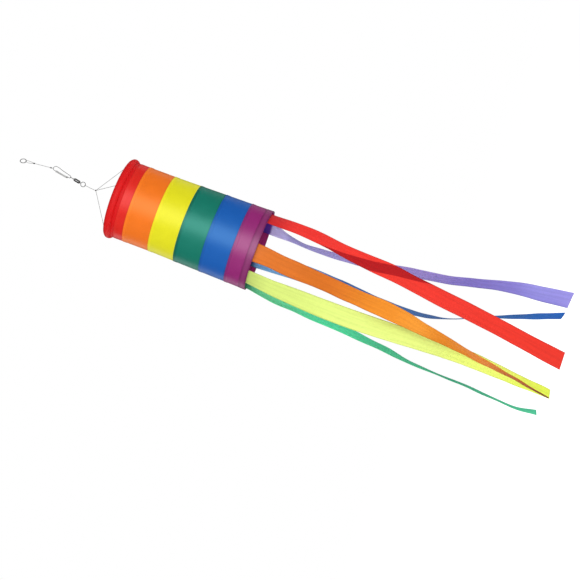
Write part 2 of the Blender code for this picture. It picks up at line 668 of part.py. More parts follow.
clear_scene()
PARTS = new_collection("windsock")
CUTTERS = new_collection("cutters")
NICKEL = material("black_nickel", (0.20, 0.20, 0.21), 0.28, 1.0)
GUARD = material("sheet_metal", (0.55, 0.55, 0.54), 0.35, 1.0)
CORD = material("cord", (0.62, 0.62, 0.62), 0.7)
HOOP = material("hoop_plastic", (0.80, 0.80, 0.80), 0.5)
FABRICS = {name: material(f"cloth_{name}", COLOURS[name], 0.6) for name in BAND_NAMES}
RIBBON_FABRICS = {
    name: material(f"ribbon_{name}", COLOURS[shade], 0.55)
    for name, shade in (
        ("red", "red"), ("orange", "orange"), ("lime", "lime"), ("green", "bright_green"),
        ("blue", "royal_blue"), ("lavender", "lavender"),
    )
}
main()
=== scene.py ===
"""The looks of the hanging rainbow windsock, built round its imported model: woven bands with lapped
seams and stitching, a rolled mouth hem, a stitched tail hem, six woven ribbon tails, twisted cords
and the small metal parts of the hanger. Metres, +Z up, origin at the top of the hang ring."""

import json
import math

import bpy
import numpy as np
from mathutils import Matrix, Vector


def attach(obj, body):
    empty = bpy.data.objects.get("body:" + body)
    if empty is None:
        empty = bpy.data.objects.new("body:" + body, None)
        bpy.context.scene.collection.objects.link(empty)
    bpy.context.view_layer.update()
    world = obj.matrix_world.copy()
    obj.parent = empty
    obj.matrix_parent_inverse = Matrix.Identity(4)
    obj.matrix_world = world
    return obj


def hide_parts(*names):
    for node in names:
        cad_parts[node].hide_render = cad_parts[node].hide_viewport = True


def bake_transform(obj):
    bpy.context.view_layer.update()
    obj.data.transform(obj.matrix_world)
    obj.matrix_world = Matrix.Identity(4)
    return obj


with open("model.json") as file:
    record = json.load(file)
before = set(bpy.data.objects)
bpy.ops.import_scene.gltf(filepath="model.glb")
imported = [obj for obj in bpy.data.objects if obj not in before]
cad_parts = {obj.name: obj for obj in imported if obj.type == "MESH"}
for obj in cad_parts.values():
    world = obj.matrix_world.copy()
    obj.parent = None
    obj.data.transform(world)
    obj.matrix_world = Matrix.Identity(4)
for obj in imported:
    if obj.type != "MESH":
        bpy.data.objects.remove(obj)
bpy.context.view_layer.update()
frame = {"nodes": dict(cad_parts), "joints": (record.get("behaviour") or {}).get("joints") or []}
NODES = frame["nodes"]
JOINTS = {joint["name"]: joint for joint in frame["joints"]}

MM = 0.001
TURN = 2 * math.pi

# Sizes repeated from the CAD source
RING_RADIUS, RING_WIRE = 5.85 * MM, 0.65 * MM
RING_YAW = math.radians(45)
CORD_RADIUS, GAP = 0.4 * MM, 0.3 * MM
LINE_LENGTH = 55.3 * MM
LINE_EYE = (14.3 * MM, 5.0 * MM)
LOWER_EYE = (3.8 * MM, 3.0 * MM)
CRIMP_RADIUS, CRIMP_LENGTH = 1.2 * MM, 2.6 * MM
SNAP_WIRE, SNAP_LENGTH = 0.45 * MM, 37.7 * MM
SNAP_PIN, SNAP_PIN_RADIUS = (-3.2 * MM, -30.2 * MM), 0.5 * MM
UPPER_RING = (2.9 * MM, 0.5 * MM)
LOWER_RING = (4.6 * MM, 0.55 * MM)
SHANK_RADIUS, SHANK_HEAD_RADIUS, SHANK_HEAD, SHANK_SHOW = 0.6 * MM, 1.7 * MM, 0.9 * MM, 2.0 * MM
BARREL_LENGTH, BARREL_RADIUS, BARREL_END_RADIUS = 13.0 * MM, 3.1 * MM, 2.3 * MM
BARREL_CHAMFER, BARREL_END_WALL, BARREL_BORE = 1.8 * MM, 1.4 * MM, 2.2 * MM
LEANS = {"ring": 12, "line": 6, "snap": -7, "swivel": -9}
KNOT = Vector((-2.8 * MM, 0, -158.6 * MM))
KNOT_RADIUS, KNOT_STRETCH, LEAD_SPREAD = 1.7 * MM, 1.2, 0.6 * MM
BRIDLE_ANGLES = (53, 147, -75)
ANCHOR_RADIUS, ANCHOR_TILT = 1.4 * MM, math.radians(115)
ROLL_DROP, ROLL_CENTRE, ROLL_RADIUS, ROLL_CLOTH = 212.0 * MM, 72.0 * MM, 7.1 * MM, 0.8 * MM
HEM_RADIUS, HEM_NECK_DROP = 74.3 * MM, 226.2 * MM
BAND_NAMES = ("red", "orange", "yellow", "green", "blue", "purple")
FIRST_SEAM_DROP, BAND_HEIGHT, TAIL_DROP = 244.4 * MM, 52.0 * MM, 494.4 * MM
TUBE_RADIUS, TAIL_RADIUS, BAND_CLOTH = 74.8 * MM, 78.9 * MM, 0.5 * MM
FACING_IN, FACING_HEIGHT, FACING_CLOTH = 1.7 * MM, 15.0 * MM, 0.4 * MM
STIFFENER_UP, STIFFENER_HEIGHT = 1.0 * MM, 12.0 * MM
RIBBON_WIDTH, RIBBON_CLOTH, RIBBON_LENGTH = 36.0 * MM, 0.5 * MM, 600.0 * MM
ROOT_HEIGHT, ROOT_BELOW = 13.0 * MM, 0.6 * MM
HINGE_RADIUS, HINGE_DROP, FREE_DROP = 76.05 * MM, 495.25 * MM, 495.5 * MM
FLATTENS_BY = 60.0 * MM

# Each ribbon's angle round the tail in degrees, and the route of its middle line: how far it has
# hung, X and Y in millimetres, and how far its width has turned from X in degrees
RIBBONS = {
    "red": (57, (
        (48, 63, -44.5, 54), (118, 59, -46, 50), (165, 53.5, -47, 45), (212, 50, -48, 35),
        (258, 46.5, -49, 31), (305, 41, -50, 33), (350, 36, -51, 27), (443, 25.5, -52.5, 29),
        (535, 13.5, -54.5, 26), (600, 5, -56, 20),
    )),
    "orange": (-5.5, (
        (25, -8.5, -78, -22), (75, -12, -81, -25), (120, -14, -83.5, -33), (210, -19.5, -89, -36),
        (260, -21.5, -91.5, -30), (305, -26.5, -94.5, -38), (350, -32.5, -97, -53),
        (395, -37.5, -100, -64), (485, -51, -105, -77), (530, -57.5, -108, -83),
        (594, -67, -112, -87),
    )),
    "lime": (-47.5, (
        (48, -58, -51.5, -39), (118, -60, -52, -20), (212, -60, -52, 0), (304, -56, -52.5, 20),
        (397, -52, -53, 30), (466, -52.5, -54, 40), (534, -57, -54.5, 53), (600, -60.5, -55, 63),
    )),
    "green": (-108, (
        (43, -78, 24.5, -107), (115, -81.5, 25.5, -109), (210, -85, 26.5, -112),
        (258, -89.5, 27.5, -110), (306, -94, 28, -105), (350, -98.5, 28.5, -98),
        (400, -100.5, 29, -95), (495, -104.5, 30.5, -97), (560, -107, 31, -96),
        (599, -102, 32, -104),
    )),
    "blue": (192, (
        (80, -11, 78, 198), (160, -10, 79, 215), (230, -11, 80, 238), (285, -8.5, 80.5, 250),
        (345, -2, 81, 259), (390, 9, 82, 267), (440, 31.5, 83, 272), (500, 56, 83.5, 284),
        (545, 73.5, 84, 290), (588, 90, 85, 291),
    )),
    "lavender": (137, (
        (30, 46, 60, 112), (65, 41, 61, 101), (110, 41, 63, 105), (165, 47, 64, 112),
        (260, 61, 66, 116), (355, 77, 68, 116), (450, 101, 71, 122), (500, 110.5, 72, 134),
        (550, 117.5, 73, 145), (590, 123, 74, 149),
    )),
}


# ---------------- camera, floor and light

CAMERA_TARGET, CAMERA_DISTANCE = Vector((-0.0496, 0, -0.5751)), 2.9
CAMERA_PITCH, CAMERA_ROLL = math.radians(3.5), math.radians(20.7)
LENS, SENSOR = 94.7, 36  # mm
LIT_POINT, LIGHT_HEIGHT = Vector((0, 0, -0.5)), 2.4
# Each light's name, place, width and watts, and whether shiny cloth mirrors it
LIGHTS = (
    ("front_light", (0.10, -2.1, -0.35), 1.7, 43, True),
    ("rim_light_left", (-1.7, 1.9, -0.5), 0.8, 8, True),
    ("rim_light_right", (1.7, 1.9, -0.5), 0.8, 3, True),
    ("side_light", (-2.4, -0.9, -0.4), 1.5, 12, False),
    ("back_light_left", (-2.2, 1.6, -0.5), 1.5, 26, False),
    ("back_light_right", (2.2, 1.6, -0.5), 1.5, 42, False),
)
FLOOR_DROP, FLOOR_REACH = 1.22, 12.0


def new_object(name, data):
    made = bpy.data.objects.new(name, data)
    bpy.context.scene.collection.objects.link(made)
    return made


def direction_camera():
    """The camera looks slightly up at the object's middle, and rolls, so that the sock slants."""
    pitch, roll = CAMERA_PITCH, CAMERA_ROLL
    forward = Vector((0, math.cos(pitch), math.sin(pitch)))
    along = Vector((0, math.sin(pitch), -math.cos(pitch)))
    side = Vector((1, 0, 0))
    right = math.cos(roll) * along + math.sin(roll) * side
    up = math.cos(roll) * side - math.sin(roll) * along
    data = bpy.data.cameras.new("camera")
    data.lens, data.sensor_width = LENS, SENSOR
    camera = new_object("camera", data)
    turned = Matrix((right, up, -forward)).transposed().to_4x4()
    camera.matrix_world = Matrix.Translation(CAMERA_TARGET - CAMERA_DISTANCE * forward) @ turned
    bpy.context.scene.camera = camera


def area_light(name, at, width, power, mirrored):
    """A tall soft light turned towards the sock, which the camera doesn't see."""
    data = bpy.data.lights.new(name, "AREA")
    data.shape, data.size, data.size_y, data.energy = "RECTANGLE", width, LIGHT_HEIGHT, power
    light = new_object(name, data)
    light.location = at
    light.rotation_mode = "QUATERNION"
    light.rotation_quaternion = (LIT_POINT - Vector(at)).to_track_quat("-Z", "Y")
    light.visible_camera, light.visible_glossy = False, mirrored


def studio():
    """A white room: even light all round, soft lights in front, at a side and behind, and a pale
    floor. Only the front and rim lights show as shine: the room, the rest and the floor don't."""
    world = bpy.data.worlds.new("studio")
    world.use_nodes = True
    background = world.node_tree.nodes["Background"].inputs
    background["Color"].default_value, background["Strength"].default_value = (1, 1, 1, 1), 1.0
    bpy.context.scene.world = world
    world.cycles_visibility.glossy = False
    bpy.context.scene.view_settings.view_transform = "Standard"
    for light in LIGHTS:
        area_light(*light)
    mesh = bpy.data.meshes.new("floor")
    ways = ((-1, -1), (1, -1), (1, 1), (-1, 1))
    corners = [(x * FLOOR_REACH, y * FLOOR_REACH, -FLOOR_DROP) for x, y in ways]
    mesh.from_pydata(corners, [], [(0, 1, 2, 3)])
    floor = new_object("floor", mesh)
    pale = bpy.data.materials.new("floor")
    pale.use_nodes = True
    looks = {"Base Color": (1, 1, 1, 1), "Roughness": 0.9, "Specular IOR Level": 0}
    for key, value in looks.items():
        pale.node_tree.nodes["Principled BSDF"].inputs[key].default_value = value
    mesh.materials.append(pale)
    floor.visible_glossy = False


direction_camera()
studio()


# ---------------- materials


def srgb(*values):
    """A colour given in 8-bit display values, as linear light."""
    return tuple(v / 255 / 12.92 if v <= 10 else ((v / 255 + 0.055) / 1.055) ** 2.4 for v in values)


class Nodes:
    """Builds one material's nodes. An input given as a socket is linked, and any other is set."""

    def __init__(self, name):
        self.material = bpy.data.materials.new(name)
        self.material.use_nodes = True
        self.tree = self.material.node_tree
        self.shader = self.tree.nodes["Principled BSDF"]

    def put(self, node, inputs):
        for key, value in inputs.items():
            socket = node.inputs[key]
            if isinstance(value, bpy.types.NodeSocket):
                self.tree.links.new(value, socket)
            elif isinstance(value, tuple) and len(value) == 3 and socket.type == "RGBA":
                socket.default_value = (*value, 1)
            else:
                socket.default_value = value
        return node

    def add(self, kind, inputs=None, **settings):
        node = self.tree.nodes.new("ShaderNode" + kind)
        for key, value in settings.items():
            setattr(node, key, value)
        return self.put(node, inputs or {})

    def math(self, operation, a, b=0.0, c=0.0):
        return self.add("Math", {0: a, 1: b, 2: c}, operation=operation).outputs[0]

    def rise(self, value, start, end):
        """0 before start, 1 after end, and smooth between."""
        inputs = {"Value": value, "From Min": start, "From Max": end}
        return self.add("MapRange", inputs, interpolation_type="SMOOTHSTEP").outputs[0]

    def spread(self, value, low, high):
        """A 0 to 1 value stretched to run from low to high."""
        return self.add("MapRange", {"Value": value, "To Min": low, "To Max": high}).outputs[0]

    def mix(self, factor, a, b, blend="MIX"):
        inputs = {0: factor, 6: a, 7: b}
        return self.add("Mix", inputs, data_type="RGBA", blend_type=blend).outputs[2]

    def shaded(self, factor, tone, by):
        """A tone times by, where the factor is 1."""
        return self.mix(factor, tone, self.mix(1.0, tone, (by, by, by), "MULTIPLY"))

    def noise(self, where, scale, detail=3.0):
        inputs = {"Vector": where, "Scale": scale, "Detail": detail}
        return self.add("TexNoise", inputs).outputs[0]

    def grain(self, where, scales, detail=3.0):
        """Noise drawn out along an axis: scales are how fine it is along each."""
        scaled = self.add("VectorMath", {0: where, 1: scales}, operation="MULTIPLY").outputs[0]
        return self.noise(scaled, 1.0, detail)

    def bump(self, strength, distance, height):
        inputs = {"Strength": strength, "Distance": distance, "Height": height}
        return self.add("Bump", inputs).outputs[0]

    def cloth_place(self):
        """Where a point is on the flat cloth: metres across and along, from the UV map."""
        place = self.add("UVMap", uv_map="cloth").outputs[0]
        split = self.add("SeparateXYZ", {0: place})
        return place, split.outputs[0], split.outputs[1]

    def object_place(self):
        return self.add("TexCoord").outputs["Object"]

    def finish(self, plain, **inputs):
        """Sets the shader, and the one plain colour that shows without it."""
        named = {key.replace("_", " ").title().replace("Ior", "IOR"): value for key, value in inputs.items()}
        self.put(self.shader, named)
        self.material.diffuse_color = (*plain, 1)
        return self.material


def darker(colour, by):
    return tuple(v * by for v in colour)


def towards(colour, other, share):
    return tuple(a + (b - a) * share for a, b in zip(colour, other))


WHITE, DARK_GREY = (1.0, 1.0, 1.0), (0.12, 0.12, 0.12)


def weave(build, across, along, pitch, rib):
    """Plain weave as a height round 0. rib is how much the crosswise ribs show over the weave."""
    warp = build.math("SINE", build.math("MULTIPLY", across, TURN / pitch))
    weft = build.math("SINE", build.math("MULTIPLY", along, TURN / pitch))
    crossed = build.math("MULTIPLY", warp, weft)
    return build.math("MULTIPLY_ADD", weft, rib, crossed)


def band_material(name, colour, shine, lap_tone_and_ridge_light, height, end, hem=0.0):
    """Nylon taffeta. The lap tone shows at its upper edge, where it is two cloths thick, with the lap
    ridge's painted highlight and shade in it. end is painted shade just above its lower edge, and
    on the yellow band a paler painted highlight. hem is how far up the cloth is doubled there,
    between two sewn lines, with painted shade along the hem's top and along its fold."""
    build = Nodes("cloth_" + name)
    place, across, along = build.cloth_place()
    mottle = build.noise(place, 55.0)
    streak = build.grain(place, (4.0, 260.0, 1.0))
    tone = build.mix(mottle, darker(colour, 0.93), darker(colour, 1.07))
    tone = build.mix(build.spread(streak, 0.0, 0.16), tone, darker(colour, 0.72))
    # The lap: the doubled cloth's tone, with the ridge's painted highlight and shade
    lap = build.math("SUBTRACT", 1.0, build.rise(along, 4.2 * MM, 5.6 * MM))
    tone = build.mix(build.math("MULTIPLY", lap, 0.75), tone, lap_tone_and_ridge_light)
    # Painted shade just above the lower edge, and a painted highlight there on the yellow band
    lower_edge_shading = build.rise(along, height - 3.5 * MM, height)
    tone = build.mix(build.math("MULTIPLY", lower_edge_shading, 0.8), tone, end)
    if hem:
        edge = build.math("SUBTRACT", along, height - hem)
        dull = towards(darker(colour, 0.8), DARK_GREY, 0.10)
        tone = build.mix(build.rise(edge, -0.4 * MM, 0.6 * MM), tone, dull)
        # Painted shade in two soft lines: along the hem's top and along its fold at the tail edge
        for middle in (0.8 * MM, hem - 1.2 * MM):
            near = build.math("ABSOLUTE", build.math("SUBTRACT", edge, middle))
            line = build.math("SUBTRACT", 1.0, build.rise(near, 0.4 * MM, 2.6 * MM))
            tone = build.mix(build.math("MULTIPLY", line, 0.75), tone, darker(colour, 0.5))
    relief = weave(build, across, along, 0.9 * MM, 0.25)
    threads = build.math("MULTIPLY_ADD", relief, 0.02, 0.37)
    tone = build.mix(build.rise(relief, 0.2, -1.2), tone, darker(colour, 0.8))
    bump = build.bump(0.28, 0.05 * MM, relief)
    roughness = build.math("MULTIPLY_ADD", mottle, 0.10, threads)
    return build.finish(
        colour, base_color=tone, roughness=roughness, normal=bump,
        specular_ior_level=0.95, specular_tint=(*shine, 1),
    )


def cloth_material(name, colour, roughness, shine):
    """Plain cloth with no lap, for the hem and the facing."""
    build = Nodes("cloth_" + name)
    place, across, along = build.cloth_place()
    mottle = build.noise(place, 80.0)
    tone = build.mix(mottle, darker(colour, 0.9), darker(colour, 1.1))
    relief = weave(build, across, along, 0.9 * MM, 0.25)
    tone = build.mix(build.rise(relief, 0.2, -1.2), tone, darker(colour, 0.78))
    bump = build.bump(0.6, 0.06 * MM, relief)
    return build.finish(
        colour, base_color=tone, roughness=build.spread(mottle, roughness - 0.06, roughness + 0.06),
        normal=bump, specular_ior_level=shine,
    )


def ribbon_material(name, stops, fold):
    """Ribbed polyester ribbon. Its tones along its length carry painted light and shade, and a crimson band
    across it is painted shade for the darker side of a fold.
    """
    build = Nodes("ribbon_" + name)
    place, across, along = build.cloth_place()
    # The ramp paints the ribbon's light and shade along its length into its tones
    ramp = build.add("ValToRGB", {0: build.spread(along, 0.0, 1.0 / (RIBBON_LENGTH + ROOT_HEIGHT))})
    ramp.color_ramp.interpolation = "EASE"
    while len(ramp.color_ramp.elements) < len(stops):
        ramp.color_ramp.elements.new(0.5)
    for element, (at, *colour) in zip(ramp.color_ramp.elements, stops):
        element.position = at
        element.color = (*srgb(*colour), 1)
    tone = ramp.outputs[0]
    share = build.math("DIVIDE", across, RIBBON_WIDTH)
    if fold:
        past = []
        for one, other in zip(*fold):
            edge = build.math("MULTIPLY_ADD", share, (other - one) * MM, one * MM)
            past.append(build.rise(build.math("SUBTRACT", along, edge), -FOLD_SOFT, FOLD_SOFT))
        # Painted shade on the fold's darker side
        tone = build.mix(build.math("SUBTRACT", *past), tone, FOLD_SHADE_CRIMSON)
    mottle = build.noise(place, 140.0, 4.0)
    tone = build.shaded(build.spread(mottle, 0.0, 0.5), tone, 0.8)
    streaks = build.rise(build.grain(place, (190.0, 7.0, 1.0), 2.0), 0.35, 0.7)
    tone = build.shaded(build.math("MULTIPLY", streaks, 0.6), tone, 0.8)
    edge = build.math("ABSOLUTE", build.math("SUBTRACT", share, 0.5))
    selvedge = build.rise(edge, 0.462, 0.474)
    ribs = build.math("SINE", build.math("MULTIPLY", along, TURN / (1.1 * MM)))
    fine = weave(build, across, along, 0.55 * MM, 0.0)
    relief = build.math("MULTIPLY_ADD", fine, 0.35, ribs)
    height = build.math("MULTIPLY_ADD", selvedge, 1.5, relief)
    tone = build.shaded(build.rise(relief, 0.1, -1.4), tone, 0.74)
    tone = build.shaded(build.math("MULTIPLY", selvedge, 0.6), tone, 0.7)
    bump = build.bump(0.5, 0.06 * MM, height)
    return build.finish(
        srgb(*stops[len(stops) // 2][1:]), base_color=tone, normal=bump,
        roughness=build.spread(mottle, 0.46, 0.62), specular_ior_level=0.2,
    )


def metal_material(name, colour, worn, roughness):
    """Plated metal, brighter where handling has polished it, with fine scratches."""
    build = Nodes(name)
    place = build.object_place()
    patches = build.noise(place, 420.0, 4.0)
    tone = build.mix(build.rise(patches, 0.35, 0.7), colour, worn)
    bump = build.bump(0.25, 0.02 * MM, build.grain(place, (900.0, 900.0, 9000.0), 2.0))
    return build.finish(
        colour, base_color=tone, metallic=1.0, normal=bump,
        roughness=build.spread(patches, roughness - 0.08, roughness + 0.14),
    )


def plastic_material(name, colour):
    """Moulded plastic with a fine grain."""
    build = Nodes(name)
    place = build.object_place()
    cloud = build.noise(place, 90.0, 4.0)
    grain = build.noise(place, 2600.0, 2.0)
    tone = build.mix(cloud, darker(colour, 0.9), colour)
    bump = build.bump(0.2, 0.03 * MM, grain)
    return build.finish(colour, base_color=tone, roughness=build.spread(cloud, 0.38, 0.55), normal=bump)


def cord_material(name, colour):
    """Twisted twine: dark and light fibres, drawn out along the part's height."""
    build = Nodes(name)
    fibres = build.grain(build.object_place(), (5200.0, 5200.0, 900.0))
    tone = build.mix(fibres, darker(colour, 0.7), darker(colour, 1.5))
    bump = build.bump(0.5, 0.04 * MM, fibres)
    return build.finish(
        colour, base_color=tone, roughness=build.spread(fibres, 0.6, 0.8), normal=bump,
        sheen_weight=0.3, sheen_roughness=0.5,
    )


def thread_material(name, colour):
    """Sewing thread, lighter and darker with its twist."""
    build = Nodes(name)
    twist = build.noise(build.object_place(), 3800.0, 2.0)
    tone = build.mix(twist, darker(colour, 0.75), towards(colour, WHITE, 0.15))
    bump = build.bump(0.4, 0.03 * MM, twist)
    return build.finish(colour, base_color=tone, roughness=0.55, normal=bump, sheen_weight=0.3)


BAND_COLOURS = {
    "red": srgb(185, 16, 0), "orange": srgb(200, 92, 0), "yellow": srgb(186, 182, 0),
    "green": srgb(0, 98, 81), "blue": srgb(0, 70, 147), "purple": srgb(122, 8, 92),
}
# Each band's tone where it laps the band above: the doubled cloth, with the lap ridge's painted highlight
# and shade
LAP_TONES_AND_RIDGE_LIGHT = {
    "red": srgb(184, 20, 8), "orange": srgb(206, 98, 4), "yellow": srgb(196, 182, 4),
    "green": srgb(0, 76, 54), "blue": srgb(0, 64, 134), "purple": srgb(106, 10, 86),
}
# The tint of each band's shine, which nylon gives its own colour
SHINE = {
    "red": (1, 0.36, 0.36), "orange": (1, 0.6, 0.3), "yellow": (1, 0.97, 0.3),
    "green": (0.36, 1, 0.86), "blue": (0.33, 0.7, 1), "purple": (1, 0.66, 0.84),
}
BLACK_NICKEL = metal_material("black_nickel", (0.012, 0.012, 0.013), (0.05, 0.05, 0.052), 0.36)
BRIGHT_NICKEL = metal_material("bright_nickel", (0.20, 0.20, 0.205), (0.36, 0.36, 0.36), 0.36)
SHEET_METAL = metal_material("sheet_metal", (0.18, 0.18, 0.18), (0.28, 0.28, 0.275), 0.36)
TWINE = cord_material("cord", (0.075, 0.075, 0.075))
HOOP = plastic_material("hoop_plastic", (0.72, 0.72, 0.72))


# ---------------- mesh making


def add_mesh(name, points, faces, finish, body, uv=None):
    """One smooth-shaded piece that rides on its body. uv holds a pair for each corner of each face."""
    mesh = bpy.data.meshes.new(name)
    mesh.from_pydata(np.asarray(points).reshape(-1, 3).tolist(), [], faces)
    mesh.shade_smooth()
    mesh.materials.append(finish)
    if uv is not None:
        layer = mesh.uv_layers.new(name="cloth")
        layer.data.foreach_set("uv", np.asarray(uv, np.float32).ravel())
    piece = new_object(name, mesh)
    if body:
        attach(piece, body)
    return piece


def lattice(name, points, finish, body, uv=None, wrap=False, close=False):
    """A sheet through rows of points. wrap joins its last column to its first, and close its rows."""
    rows, columns = points.shape[:2]
    index = np.arange(rows * columns).reshape(rows, columns)
    if close:
        index = np.vstack([index, index[:1]])
    if wrap:
        index = np.hstack([index, index[:, :1]])

    def quads(grid):
        return np.stack([grid[:-1, :-1], grid[1:, :-1], grid[1:, 1:], grid[:-1, 1:]], axis=2)

    faces = quads(index).reshape(-1, 4).tolist()
    corners = None if uv is None else quads(uv).reshape(-1, 2)
    return add_mesh(name, points, faces, finish, body, corners)


def solid_between(name, rows, finish, body, slot, first=None, last=None):
    """A closed solid of rings: rows of points round it, and a single point or a flat cap at each end."""
    rows = np.asarray(rows)
    count, sides = rows.shape[:2]
    first = rows[0].mean(axis=0) if first is None else first
    last = rows[-1].mean(axis=0) if last is None else last
    points = np.vstack([rows.reshape(-1, 3), first, last])
    ring = [(i, (i + 1) % sides) for i in range(sides)]
    faces = []
    for a in range(0, (count - 1) * sides, sides):
        b = a + sides
        faces += [(a + i, a + j, b + j, b + i) for i, j in ring]
    top, end, low = count * sides, count * sides + 1, (count - 1) * sides
    faces += [(top, j, i) for i, j in ring]
    faces += [(end, low + i, low + j) for i, j in ring]
    return add_mesh(name, points, faces, finish, body)


def thicken(piece, thickness, offset):
    """Gives a sheet its thickness: all outside it at offset 1, and half on each side at 0."""
    shell = piece.modifiers.new("Thickness", "SOLIDIFY")
    shell.thickness, shell.offset, shell.use_even_offset = thickness, offset, True


def in_frame(matrix, points):
    """Points of a hanger link, upright and at its pivot, carried to where the link hangs."""
    points = np.asarray(points, float)
    turned = np.array(matrix)
    return points @ turned[:3, :3].T + turned[:3, 3]


def smooth(stations, values):
    """Rows of stations read at other first-column values, on one smooth curve through all of them."""
    rows = np.array(stations, float)
    s, rest = rows[:, 0], rows[:, 1:]
    slope = np.gradient(rest, s, axis=0)
    index = np.clip(np.searchsorted(s, values) - 1, 0, len(s) - 2)
    step = (s[index + 1] - s[index])[:, None]
    t = (np.asarray(values) - s[index])[:, None] / step
    start = (2 * t**3 - 3 * t**2 + 1) * rest[index] + (t**3 - 2 * t**2 + t) * step * slope[index]
    end = (3 * t**2 - 2 * t**3) * rest[index + 1] + (t**3 - t**2) * step * slope[index + 1]
    return start + end


def run_along(points):
    """How far along its route each point is."""
    return np.concatenate([[0], np.cumsum(np.linalg.norm(np.diff(points, axis=0), axis=1))])


def smooth_route(points, count):
    """Points evenly spread along a smooth curve through the route's own points."""
    points = np.array(points, float)
    along = run_along(points)
    fine = smooth(np.column_stack([along, points]), np.linspace(0, along[-1], 12 * count))
    run = run_along(fine)
    even = np.linspace(0, run[-1], count)
    return np.column_stack([np.interp(even, run, fine[:, k]) for k in range(3)])


def frames_along(route, cyclic):
    """The two directions across a route at each point, turning with it as little as they can."""
    if cyclic:
        tangent = np.roll(route, -1, axis=0) - np.roll(route, 1, axis=0)
    else:
        tangent = np.gradient(route, axis=0)
    tangent /= np.linalg.norm(tangent, axis=1)[:, None]
    side = np.cross(tangent[0], (0.0, 0.0, 1.0))
    if np.linalg.norm(side) < 0.1:
        side = np.cross(tangent[0], (1.0, 0.0, 0.0))
    sides = []
    for way in tangent:
        side = side - way * (side @ way)
        side = side / np.linalg.norm(side)
        sides.append(side)
    sides = np.array(sides)
    return sides, np.cross(tangent, sides)


def tube(name, route, radius, finish, body, slot, sides=14, cyclic=False, pitch=0.0, groove=0.0):
    """A wire, or with a pitch a cord of three strands twisted together, along a route."""
    route = np.asarray(route, float)
    side, other = frames_along(route, cyclic)
    run = run_along(route)
    angle = TURN * np.arange(sides) / sides
    girth = np.full((len(route), sides), radius)
    if pitch:
        strand = 1.5 * (angle[None, :] - TURN * run[:, None] / pitch)
        girth *= 1 - groove * (1 - np.abs(np.cos(strand)))
    ring = np.cos(angle)[None, :, None] * side[:, None, :] + np.sin(angle)[None, :, None] * other[:, None, :]
    points = route[:, None, :] + girth[:, :, None] * ring
    if cyclic:
        return lattice(name, points, finish, body, wrap=True, close=True)
    return solid_between(name, points, finish, body, slot)


def rounded(outline, radius, closed=False):
    """An outline with each inner corner replaced by a short curve."""
    points = [np.array(p, float) for p in outline]
    count = len(points)
    made = []
    for k, here in enumerate(points):
        if not closed and k in (0, count - 1):
            made.append(here)
            continue
        before, after = points[k - 1], points[(k + 1) % count]
        one, two = before - here, after - here
        cut = min(radius, 0.4 * np.linalg.norm(one), 0.4 * np.linalg.norm(two))
        start = here + one / np.linalg.norm(one) * cut
        end = here + two / np.linalg.norm(two) * cut
        for t in (0.0, 0.33, 0.67, 1.0):
            made.append((1 - t) ** 2 * start + 2 * t * (1 - t) * here + t * t * end)
    return np.array(made)


def lathe(name, outline, matrix, finish, body, slot, steps=48, closed=False):
    """A solid of revolution about the link's own Z. An open outline starts and ends on the axis."""
    angle = TURN * np.arange(steps) / steps
    outline = np.asarray(outline)
    inner = outline if closed else outline[1:-1]
    rows = np.stack([
        inner[:, :1] * np.cos(angle), inner[:, :1] * np.sin(angle),
        np.repeat(inner[:, 1:], steps, axis=1),
    ], axis=2)
    rows = in_frame(matrix, rows)
    if closed:
        return lattice(name, rows, finish, body, wrap=True, close=True)
    ends = in_frame(matrix, [(0, 0, outline[0][1]), (0, 0, outline[-1][1])])
    return solid_between(name, rows, finish, body, slot, ends[0], ends[1])


def around(angle, radius, drop):
    """The point at an angle round the sock in degrees, from -Y towards +X."""
    turned = math.radians(angle)
    return Vector((radius * math.sin(turned), -radius * math.cos(turned), -drop))


def tube_radius(drop):
    """Outside of the cloth tube: straight at first, then flaring evenly to the tail."""
    flare = FIRST_SEAM_DROP + BAND_HEIGHT
    share = np.clip((np.asarray(drop) - flare) / (TAIL_DROP - flare), 0.0, 1.0)
    return TUBE_RADIUS + (TAIL_RADIUS - TUBE_RADIUS) * share


def ripple(angle, along, waves, rise, seed):
    """A soft uneven surface that closes round the tube: a sum of waves with up to so many round it,
    and with so many radians of drift for each metre along."""
    random = np.random.default_rng(seed)
    total = 0.0
    for _ in range(9):
        count = random.integers(waves // 3, waves + 1)
        total = total + np.sin(count * angle + random.normal() * rise * along + random.random() * TURN)
    return total / 4.5


def eased(value, start, end):
    """0 before start, 1 after end, and smooth between."""
    t = np.clip((value - start) / (end - start), 0.0, 1.0)
    return t * t * (3 - 2 * t)


def recolour(node, finish):
    """A better material on a CAD node whose shape is right."""
    piece = NODES[node]
    piece.data.materials.clear()
    piece.data.materials.append(finish)


# ---------------- the hanger

# Where the barrel's turned groove starts, is deepest and ends, from the barrel's end
GROOVE_FROM_END, GROOVE_DEPTH = (2.6 * MM, 2.9 * MM, 3.2 * MM), 0.22 * MM


def leaning(at, degrees):
    """Where a link hangs: its pivot's place, and its lean in the XZ plane."""
    return Matrix.Translation(at) @ Matrix.Rotation(-math.radians(degrees), 4, "Y")


def circle(radius, centre, yaw, count=96):
    """An upright ring's centreline in its link."""
    angle = TURN * np.arange(count) / count
    flat = radius * np.cos(angle)
    return np.column_stack([flat * math.cos(yaw), flat * math.sin(yaw), centre + radius * np.sin(angle)])


